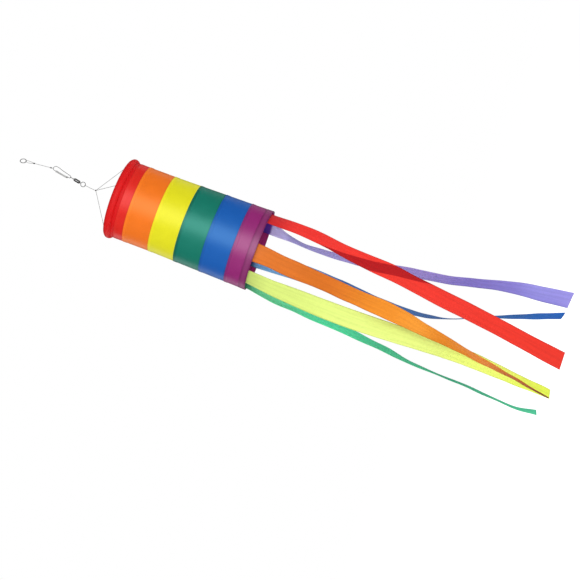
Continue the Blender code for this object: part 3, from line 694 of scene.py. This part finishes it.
def crimp(name, node, top, matrix, body):
    """A sleeve pressed on the cord: two nips across it, and rolled ends."""
    half = CRIMP_LENGTH / 2
    nip = CRIMP_RADIUS * 0.86
    outline = [
        (0, top), (CRIMP_RADIUS, top), (CRIMP_RADIUS, top - 0.5 * half), (nip, top - 0.7 * half),
        (nip, top - 0.85 * half), (CRIMP_RADIUS, top - half), (nip, top - 1.15 * half),
        (nip, top - 1.3 * half), (CRIMP_RADIUS, top - 1.5 * half), (CRIMP_RADIUS, top - CRIMP_LENGTH),
        (0, top - CRIMP_LENGTH),
    ]
    sleeve = lathe(name, rounded(outline, 0.25 * MM), matrix, BLACK_NICKEL, body, "black_nickel", 32)
    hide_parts(node)
    return sleeve


def straight(start, end, count):
    return np.linspace(np.array(start, float), np.array(end, float), count)


def twisted(name, node, route, body):
    """A cord of three strands, in place of a CAD node."""
    cord = tube(name, route, CORD_RADIUS, TWINE, body, "cord", sides=18, pitch=2.6 * MM, groove=0.28)
    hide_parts(node)
    return cord


def hang_ring():
    hang = leaning((0, 0, 0), LEANS["ring"])
    route = in_frame(hang, circle(RING_RADIUS, -RING_RADIUS - RING_WIRE, RING_YAW))
    ring = tube("ring_of_wire", route, RING_WIRE, BRIGHT_NICKEL, "hanger", "black_nickel", 16, cyclic=True)
    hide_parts("hang_ring")


def hang_line():
    """An eye round the ring, a crimp, the line, a crimp, and an eye round the snap's nose."""
    line = leaning(JOINTS["line_swing"]["pos_m"], LEANS["line"])
    length, width = LINE_EYE
    reach = RING_WIRE + 1.3 * GAP + CORD_RADIUS
    half = ((-0.13, -1.0), (-0.32, -0.78), (-0.5, -0.42), (-0.42, -0.08))
    side = [(x * width, z * length) for x, z in half]
    outline = [*side, (0.0, reach), *[(-x, z) for x, z in reversed(side)]]
    axis = RING_YAW + math.radians(90)
    eye = smooth_route([(x * math.cos(axis), x * math.sin(axis), z) for x, z in outline], 210)
    upper = twisted("twine_eye_upper", "line_eye_upper", in_frame(line, eye), "line")
    crimp_top = -length - GAP
    top_crimp = crimp("sleeve_upper", "line_crimp_upper", crimp_top, line, "line")
    line_top = crimp_top - CRIMP_LENGTH - GAP
    low_length, low_width = LOWER_EYE
    line_end = -LINE_LENGTH + low_length + 2 * GAP + CRIMP_LENGTH
    route = in_frame(line, straight((0, 0, line_top), (0, 0, line_end), 200))
    twine = twisted("twine_line", "hang_line", route, "line")
    low_crimp = crimp("sleeve_lower", "line_crimp_lower", line_end - GAP, line, "line")
    legs = ((0.17, 1.0), (0.23, 0.84), (0.5, 0.5), (0.42, 0.14))
    side = [(0, y * low_width, -LINE_LENGTH + z * low_length) for y, z in legs]
    around_snap = [*side, (0, 0, -LINE_LENGTH), *[(0, -y, z) for _, y, z in reversed(side)]]
    eye = smooth_route(around_snap, 90)
    lower = twisted("twine_eye_lower", "line_eye_lower", in_frame(line, eye), "line")


def snap():
    """The snap's frame, one bent wire: round its nose, down its back and round its pin."""
    link = leaning(JOINTS["snap_swing"]["pos_m"], LEANS["snap"])
    nose = SNAP_WIRE + GAP + CORD_RADIUS
    rear = -SNAP_LENGTH
    px, pz = SNAP_PIN
    curl = SNAP_PIN_RADIUS + GAP + SNAP_WIRE
    run = [
        (-2.3 * MM, -6.4 * MM), (-2.5 * MM, -3.2 * MM), (-1.7 * MM, -0.2 * MM), (0, nose),
        (3.2 * MM, 0.3 * MM), (5.9 * MM, -2.4 * MM), (6.2 * MM, -5.2 * MM), (4.9 * MM, -14 * MM),
        (4.1 * MM, -19 * MM), (2.8 * MM, rear + 6.5 * MM), (2.1 * MM, rear + 2.2 * MM), (0, rear),
        (-2.0 * MM, rear + 1.9 * MM), (px + curl, pz - 2.2 * MM),
    ]
    turns = [math.radians(a) for a in range(0, 271, 30)]
    run += [(px + curl * math.cos(a), pz + curl * math.sin(a)) for a in turns]
    bent = in_frame(link, smooth_route([(x, 0, z) for x, z in run], 260))
    frame_wire = tube("bent_wire", bent, SNAP_WIRE, BLACK_NICKEL, "snap", "black_nickel", 14)
    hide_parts("snap_frame")


def swivel():
    """A hollow barrel, with an eye at each end whose shank is headed inside it."""
    link = leaning(JOINTS["swivel_swing"]["pos_m"], LEANS["swivel"])
    upper_radius, upper_wire = UPPER_RING
    lower_radius, lower_wire = LOWER_RING
    upper_centre = SNAP_WIRE + GAP + upper_wire - upper_radius
    barrel_top = upper_centre - upper_radius - upper_wire - SHANK_SHOW
    barrel_end = barrel_top - BARREL_LENGTH
    lower_centre = barrel_end - SHANK_SHOW - lower_wire - lower_radius
    upper_head = barrel_top - BARREL_END_WALL - GAP - SHANK_HEAD
    lower_head = barrel_end + BARREL_END_WALL + GAP + SHANK_HEAD
    swivel_eye("upper", UPPER_RING, upper_centre, upper_head, 1, math.radians(90), link, "swivel_top")
    swivel_eye("lower", LOWER_RING, lower_centre, lower_head, -1, 0.0, link, "swivel_bottom")
    hole = SHANK_RADIUS + GAP
    groove = BARREL_RADIUS - GROOVE_DEPTH
    near, middle, far = GROOVE_FROM_END
    outline = [
        (hole, barrel_top), (BARREL_END_RADIUS, barrel_top),
        (BARREL_RADIUS, barrel_top - BARREL_CHAMFER), (BARREL_RADIUS, barrel_top - near),
        (groove, barrel_top - middle), (BARREL_RADIUS, barrel_top - far),
        (BARREL_RADIUS, barrel_end + far), (groove, barrel_end + middle),
        (BARREL_RADIUS, barrel_end + near), (BARREL_RADIUS, barrel_end + BARREL_CHAMFER),
        (BARREL_END_RADIUS, barrel_end), (hole, barrel_end), (hole, barrel_end + BARREL_END_WALL),
        (BARREL_BORE, barrel_end + BARREL_END_WALL), (BARREL_BORE, barrel_top - BARREL_END_WALL),
        (hole, barrel_top - BARREL_END_WALL),
    ]
    barrel = lathe(
        "barrel_shell", rounded(outline, 0.35 * MM, True), link, BRIGHT_NICKEL, "barrel",
        "black_nickel", 56, closed=True,
    )
    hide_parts("swivel_barrel")


def swivel_eye(which, ring, centre, head, up, yaw, matrix, body):
    """A closed eye of wire, and the shank that runs from it to its head inside the barrel."""
    radius, gauge = ring
    route = in_frame(matrix, circle(radius, centre, yaw, 72))
    eye = tube(f"eye_{which}", route, gauge, BLACK_NICKEL, body, "black_nickel", 14, cyclic=True)
    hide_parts(f"swivel_eye_{which}")
    tip = centre - up * (radius - 0.3 * gauge)
    collar = tip - up * 0.9 * MM
    wide = 1.35 * SHANK_RADIUS
    outline = [
        (0, tip), (wide, tip), (wide, collar), (SHANK_RADIUS, collar - up * 0.3 * MM),
        (SHANK_RADIUS, head + up * SHANK_HEAD), (SHANK_HEAD_RADIUS, head + up * SHANK_HEAD),
        (SHANK_HEAD_RADIUS, head), (0, head),
    ]
    if up < 0:
        outline.reverse()
    lathe(f"shank_{which}", rounded(outline, 0.2 * MM), matrix, BLACK_NICKEL, body, "black_nickel", 32)


# ---------------- the bridle


def wound_knot(name, node, centre, radius, length, seed):
    """A small knot pulled tight: cord wound round itself."""
    rows, steps = 22, 40
    height = math.pi * np.arange(1, rows) / rows
    angle = TURN * np.arange(steps) / steps
    h, a = np.meshgrid(height, angle, indexing="ij")
    cord_over = np.abs(np.sin(1.5 * a + 5.0 * h + seed)) * np.sin(h)
    girth = radius * (0.84 + 0.16 * cord_over)
    points = np.stack([
        girth * np.sin(h) * np.cos(a), girth * np.sin(h) * np.sin(a), length * girth * np.cos(h),
    ], axis=2) + np.array(centre)
    ends = [np.array(centre) + (0, 0, sign * length * radius * 0.84) for sign in (1, -1)]
    knot = solid_between(name, points, TWINE, "sock", "cord", *ends)
    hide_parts(node)
    return knot


def bridle():
    """The doubled lead that hangs from the swivel, the knot, and three lines to the hem."""
    hung_at = Vector(JOINTS["bridle_swing"]["pos_m"])
    reach = LOWER_RING[1] + GAP + CORD_RADIUS
    end = KNOT.z + KNOT_RADIUS + GAP + CORD_RADIUS
    strand = [
        (KNOT.x, LEAD_SPREAD, end), ((KNOT.x + hung_at.x) / 2, 1.4 * LEAD_SPREAD, (end + hung_at.z) / 2),
        (hung_at.x, 1.9 * MM, hung_at.z - 2.4 * MM), (hung_at.x, 1.5 * MM, hung_at.z + 0.3 * MM),
    ]
    back = [(x, -y, z) for x, y, z in reversed(strand)]
    route = smooth_route([*strand, (hung_at.x, 0, hung_at.z + reach), *back], 260)
    lead = twisted("twine_lead", "bridle_lead", route, "sock")
    knot = wound_knot("knot_of_twine", "bridle_knot", KNOT, KNOT_RADIUS, KNOT_STRETCH, 0.4)
    seat = ROLL_RADIUS + GAP + ANCHOR_RADIUS
    radius = ROLL_CENTRE + seat * math.cos(ANCHOR_TILT)
    drop = ROLL_DROP - seat * math.sin(ANCHOR_TILT)
    for number, angle in enumerate(BRIDLE_ANGLES, 1):
        anchor = around(angle, radius, drop)
        tied = wound_knot(
            f"tied_end_{number}", f"bridle_anchor_{number}", anchor, ANCHOR_RADIUS, 1.0, number,
        )
        way = (anchor - KNOT).normalized()
        start = KNOT + way * (KNOT_STRETCH * KNOT_RADIUS + GAP + CORD_RADIUS)
        stop = anchor - way * (ANCHOR_RADIUS + GAP)
        path = straight(start, stop, 430)
        line = twisted(f"twine_bridle_{number}", f"bridle_line_{number}", path, "sock")


# ---------------- the sock

ROUND = 240  # columns round the sock
ANGLES = TURN * np.arange(ROUND) / ROUND
STITCH_LENGTH, STITCH_SPACE, THREAD_RADIUS = 2.3 * MM, 3.1 * MM, 0.17 * MM
THREAD_SIDES = 6


def cloth_ring(name, radii, drops, finish, along=None, relief=None):
    """Cloth round the sock, through rings of given radii and drops, with its flat place as UVs."""
    radii = np.asarray(radii)[:, None] + (0 if relief is None else relief)
    radii = radii * np.ones(ROUND)
    drops = np.asarray(drops)[:, None] * np.ones(ROUND)
    points = np.stack([radii * np.sin(ANGLES), -radii * np.cos(ANGLES), -drops], axis=2)
    if along is None:
        along = run_along(np.column_stack([radii[:, 0], drops[:, 0]]))
    across = TUBE_RADIUS * TURN * np.arange(ROUND + 1) / ROUND
    uv = np.stack(np.broadcast_arrays(across[None, :], np.asarray(along)[:, None]), axis=2)
    return lattice(name, points, finish, "sock", uv, wrap=True)


def stitch_row(name, drop, lift, finish, inside=False):
    """A row of stitches round the tube: short threads that dip into the cloth at both ends. Each
    has a point at its start, three rings and a point at its end."""
    radius = float(tube_radius(min(drop, TAIL_DROP))) + lift
    count = int(TURN * radius / STITCH_SPACE)
    share = np.array([0.0, 0.2, 0.5, 0.8, 1.0])
    width = np.array([0.0, 0.8, 1.0, 0.8, 0.0]) * THREAD_RADIUS
    sink = np.array([-0.16, 0.04, 0.10, 0.04, -0.16]) * MM * (-1 if inside else 1)
    points, faces = [], []
    for k in range(count):
        first = len(points)
        for row in range(5):
            angle = TURN * k / count + share[row] * STITCH_LENGTH / radius
            out = np.array((math.sin(angle), -math.cos(angle), 0.0))
            centre = out * (radius + sink[row]) - np.array((0, 0, drop))
            if width[row] == 0:
                points.append(centre)
                continue
            for turned in TURN * np.arange(THREAD_SIDES) / THREAD_SIDES:
                way = math.cos(turned) * out + math.sin(turned) * np.array((0, 0, 1.0))
                points.append(centre + width[row] * way)
        ring = [first + 1 + row * THREAD_SIDES for row in range(3)]
        last = len(points) - 1
        for i in range(THREAD_SIDES):
            j = (i + 1) % THREAD_SIDES
            faces.append((first, ring[0] + i, ring[0] + j))
            faces.append((last, ring[2] + j, ring[2] + i))
            for a, b in zip(ring, ring[1:]):
                faces.append((a + i, b + i, b + j, a + j))
    return add_mesh(name, points, faces, finish, "sock")


ROLL_ROWS, ROLL_END = 56, math.radians(262)
HEM_STITCH_DROP = 220.6 * MM


def mouth():
    """The hem: cloth rolled once round the hoop, a gathered crease where the roll ends, and a neck."""
    neck = HEM_RADIUS - ROLL_CENTRE
    first = -math.acos(neck / ROLL_RADIUS)
    angles = np.linspace(ROLL_END, first, ROLL_ROWS)
    radii = ROLL_CENTRE + ROLL_RADIUS * np.cos(angles)
    drops = ROLL_DROP - ROLL_RADIUS * np.sin(angles)
    low = np.linspace(drops[-1], HEM_NECK_DROP, 14)[1:]
    radii = np.concatenate([radii, np.full(len(low), HEM_RADIUS)])
    drops = np.concatenate([drops, low])
    rows = np.arange(len(radii))[:, None]
    crease = np.exp(-((rows - ROLL_ROWS - 1) / 3.0) ** 2)
    gathered = np.exp(-((rows - ROLL_ROWS + 4) / 9.0) ** 2)
    gathers = ripple(ANGLES[None, :], rows * MM, 96, 120.0, 3)
    soft = ripple(ANGLES[None, :], rows * MM, 18, 60.0, 4)
    relief = (-0.22 * crease + 0.10 * gathers * gathered + 0.10 * soft) * MM
    red = cloth_material("mouth_red", srgb(176, 2, 4), roughness=0.5, shine=0.16)
    hem = cloth_ring("rolled_hem", radii, drops, red, relief=relief)
    thicken(hem, ROLL_CLOTH, 1.0)
    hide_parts("mouth_hem")
    thread = thread_material("thread_red", srgb(150, 10, 14))
    stitches = stitch_row("hem_stitches", HEM_STITCH_DROP, HEM_RADIUS - TUBE_RADIUS, thread)
    recolour("mouth_hoop", HOOP)


LAP_UP, LAP_RIDGE, LAP_EDGE = 0.9 * MM, 0.45 * MM, 0.12 * MM
LAP_HEIGHT, PUCKER_REACH, LAP_ROW_DROPS, LAP_ROW_LIFT = 5 * MM, 5 * MM, (1.0 * MM, 4.2 * MM), 0.42 * MM
HEM_ROW_UP, HEM_ROW_SINK, FACING_ROW_DOWN = 1.8 * MM, 0.28 * MM, 1.6 * MM


def bands():
    """Each band laps the one above, under two rows of stitches, and puckers where it is sewn."""
    for number, name in enumerate(BAND_NAMES):
        seam_above = HEM_NECK_DROP if number == 0 else FIRST_SEAM_DROP + (number - 1) * BAND_HEIGHT
        bottom = min(FIRST_SEAM_DROP + number * BAND_HEIGHT, TAIL_DROP)
        top = seam_above - LAP_UP
        drops = np.linspace(top, bottom, 2 + int((bottom - top) / (0.8 * MM)))
        away = drops - seam_above
        from_end = bottom - drops
        raised = LAP_RIDGE * (1 - eased(away, 4.6 * MM, 6.4 * MM))
        raised += LAP_EDGE * (1 - eased(away, -0.2 * MM, 0.6 * MM))
        if name == "red":
            raised = 0.25 * raised
        pucker = np.exp(-np.abs(away - LAP_HEIGHT) / PUCKER_REACH) + np.exp(-from_end / PUCKER_REACH)
        fine = ripple(ANGLES[None, :], drops[:, None], 90, 90.0, 20 + number)
        broad = ripple(ANGLES[None, :], drops[:, None], 10, 25.0, 40 + number)
        fall = eased(from_end, 0.0, 12 * MM) * eased(away, 0.0, 10 * MM)
        relief = raised[:, None] + 0.05 * MM * pucker[:, None] * fine + 0.16 * MM * fall[:, None] * broad
        if name == "purple":
            hem_top = TAIL_DROP - STIFFENER_UP - STIFFENER_HEIGHT
            padded = eased(drops, hem_top - 1.2 * MM, hem_top + 0.8 * MM)
            channel = np.exp(-((drops - hem_top + HEM_ROW_UP) / (0.8 * MM)) ** 2)
            relief = relief + (0.30 * padded - 0.25 * channel)[:, None] * MM
        colour = BAND_COLOURS[name]
        # Painted shade just above each band's lower edge; on the yellow band a paler painted highlight
        end = srgb(200, 198, 50) if name == "yellow" else darker(colour, 0.82)
        hem = STIFFENER_UP + STIFFENER_HEIGHT if name == "purple" else 0.0
        material = band_material(name, colour, SHINE[name], LAP_TONES_AND_RIDGE_LIGHT[name], bottom - top, end, hem)
        band = cloth_ring(
            f"band_of_{name}", tube_radius(drops), drops, material,
            along=drops - top, relief=relief,
        )
        thicken(band, BAND_CLOTH, 1.0)
        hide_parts(f"band_{name}")
        thread = thread_material(f"thread_{name}", darker(colour, 0.8))
        rows = [(seam_above + down, LAP_ROW_LIFT) for down in LAP_ROW_DROPS] if number else []
        if name == "purple":
            rows += [(hem_top - HEM_ROW_UP, -HEM_ROW_SINK)]
        sewn = [
            stitch_row(f"stitches_{name}_{k}", drop, lift, thread)
            for k, (drop, lift) in enumerate(rows, 1)
        ]


def tail_hem():
    """Inside the tail: the cloth turned up under the stiffener, with its fold at the tail edge."""
    low = TAIL_DROP - GAP
    drops = np.linspace(low - FACING_HEIGHT, low, 22)
    radii = tube_radius(drops) - FACING_IN
    relief = 0.06 * MM * ripple(ANGLES[None, :], drops[:, None], 60, 90.0, 71)
    plum = cloth_material("facing", srgb(150, 32, 104), roughness=0.6, shine=0.1)
    facing = cloth_ring("turned_up_hem", radii, drops, plum, relief=relief)
    thicken(facing, FACING_CLOTH, 1.0)
    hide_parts("tail_facing")
    thread = thread_material("thread_facing", srgb(96, 22, 78))
    drop = low - FACING_HEIGHT + FACING_ROW_DOWN
    row = stitch_row(
        "facing_stitches", drop, -FACING_IN - FACING_CLOTH, thread, inside=True,
    )
    recolour("tail_stiffener", HOOP)


# ---------------- the ribbons

# Each ribbon's tones, with painted shade on the root sewn inside the tail and painted light and shade along
# the rest: how far along it, as a share, and the colour there in 8-bit display values
RIBBON_TONES_AND_SHADING = {
    "red": ((0.0, 124, 8, 16), (0.03, 178, 20, 24), (0.12, 212, 36, 28), (0.3, 214, 40, 30),
        (0.45, 210, 42, 30), (1.0, 208, 40, 24)),
    "orange": ((0.0, 146, 64, 14), (0.04, 190, 98, 26), (0.25, 188, 95, 12), (0.45, 206, 121, 20),
        (0.56, 213, 132, 34), (0.66, 202, 114, 0), (0.78, 204, 110, 0), (0.88, 176, 84, 0),
        (1.0, 132, 54, 0)),
    "lime": ((0.0, 156, 172, 88), (0.1, 186, 203, 104), (0.6, 200, 216, 112), (0.78, 212, 227, 104),
        (1.0, 214, 232, 72)),
    "green": ((0.0, 30, 126, 84), (0.06, 104, 226, 158), (0.3, 74, 226, 164), (0.5, 70, 200, 146),
        (0.75, 62, 180, 136), (1.0, 70, 196, 150)),
    "blue": ((0.0, 40, 52, 112), (0.03, 128, 188, 248), (0.14, 120, 178, 236), (0.3, 60, 104, 164),
        (0.6, 56, 100, 158), (0.82, 30, 92, 165), (1.0, 22, 92, 178)),
    "lavender": ((0.0, 72, 26, 144), (0.022, 88, 34, 154), (0.03, 206, 190, 250),
        (0.07, 196, 182, 244), (0.1, 158, 146, 212), (0.2, 160, 144, 214), (0.5, 152, 132, 206),
        (0.7, 128, 113, 196), (0.8, 132, 121, 200), (0.9, 140, 134, 208), (1.0, 140, 133, 208)),
}
# Painted shade on a fold's darker side: from where to where it runs, in millimetres, on one edge and on the
# other
FOLD_SHADE_ZONES = {"red": ((120, 221), (272, 346))}
# How soft the fold's painted shade is at its edges, and its crimson tone
FOLD_SOFT, FOLD_SHADE_CRIMSON = 4.0 * MM, srgb(162, 0, 6)
COLUMNS = 15
ROOT_GAP = 0.5 * MM


def ribbon_points(angle, route):
    """Rows of points across a ribbon, its sewn root and then its free length, and each row's drop."""
    upright = math.radians(angle)
    top = TAIL_DROP - STIFFENER_UP - ROOT_HEIGHT
    last = route[-1][0] * MM
    free = np.linspace(FREE_DROP, FREE_DROP + last, 260)
    drops = np.concatenate([np.linspace(top, FREE_DROP, 9)[:-1], free])
    first = (0.0, *(HINGE_RADIUS / MM * v for v in (math.sin(upright), -math.cos(upright))), angle)
    hung = np.maximum(drops - FREE_DROP, 0.0) / MM
    placed = smooth([first, *route], hung)
    across = RIBBON_WIDTH * (np.arange(COLUMNS) / (COLUMNS - 1) - 0.5)
    rows = []
    for drop, fallen, (x, y, turned) in zip(drops, hung, placed):
        if drop < FREE_DROP:
            lining = FACING_IN + FACING_CLOTH + ROOT_GAP + RIBBON_CLOTH / 2
            radius = float(tube_radius(min(drop, TAIL_DROP))) - lining
            share = float(eased(drop, TAIL_DROP + ROOT_BELOW - 2 * MM, FREE_DROP))
            radius = radius + (HINGE_RADIUS - radius) * share
            centre = np.array(around(angle, radius, drop))
            curl, way = 1 / radius, upright
        else:
            centre = np.array((x * MM, y * MM, -drop))
            share = float(eased(fallen * MM, 0.0, FLATTENS_BY))
            curl, way = (1 - share) / HINGE_RADIUS, math.radians(turned)
        width = np.array((math.cos(way), math.sin(way), 0))
        inward = np.array((-math.sin(way), math.cos(way), 0))
        if curl * RIBBON_WIDTH < 0.001:
            side, lift = across, np.zeros(COLUMNS)
        else:
            side, lift = np.sin(curl * across) / curl, (1 - np.cos(curl * across)) / curl
        rows.append(centre + np.outer(side, width) + np.outer(lift, inward))
    return np.array(rows), drops


def ribbon(name, angle, route, seed):
    """A ribbon tail: one length of cloth, from where it is sewn in to its cut end."""
    rows, drops = ribbon_points(angle, route)
    along = run_along(rows[:, COLUMNS // 2])
    fallen = drops - FREE_DROP
    loose = eased(fallen, 8 * MM, 70 * MM)
    random = np.random.default_rng(seed)
    share = np.linspace(-1, 1, COLUMNS)
    wave = np.zeros((len(drops), COLUMNS))
    for _ in range(5):
        length = random.uniform(45, 130) * MM
        skew = random.normal() * 0.7
        wave += np.sin(TURN * along[:, None] / length + skew * share + random.random() * TURN) / 5
    cup = np.sin(TURN * along / (190 * MM) + seed)[:, None] * (share**2 - 0.33)
    normal = np.cross(np.gradient(rows, axis=0), np.gradient(rows, axis=1))
    normal /= np.linalg.norm(normal, axis=2)[:, :, None]
    rows = rows + normal * (loose[:, None] * (0.9 * MM * wave + 0.9 * MM * cup))[:, :, None]
    across = RIBBON_WIDTH * np.arange(COLUMNS) / (COLUMNS - 1)
    uv = np.stack(np.broadcast_arrays(across[None, :], along[:, None]), axis=2)
    finish = ribbon_material(name, RIBBON_TONES_AND_SHADING[name], FOLD_SHADE_ZONES.get(name))
    piece = lattice(f"tail_{name}", rows, finish, None, uv)
    thicken(piece, RIBBON_CLOTH, 0.0)
    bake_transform(piece)
    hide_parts(f"ribbon_{name}", f"ribbon_{name}_root")


hang_ring()
hang_line()
snap()
swivel()
recolour("snap_pin", BLACK_NICKEL)
recolour("snap_gate", SHEET_METAL)
bridle()
mouth()
bands()
tail_hem()
for seed, (name, (angle, route)) in enumerate(RIBBONS.items(), 5):
    ribbon(name, angle, route, seed)
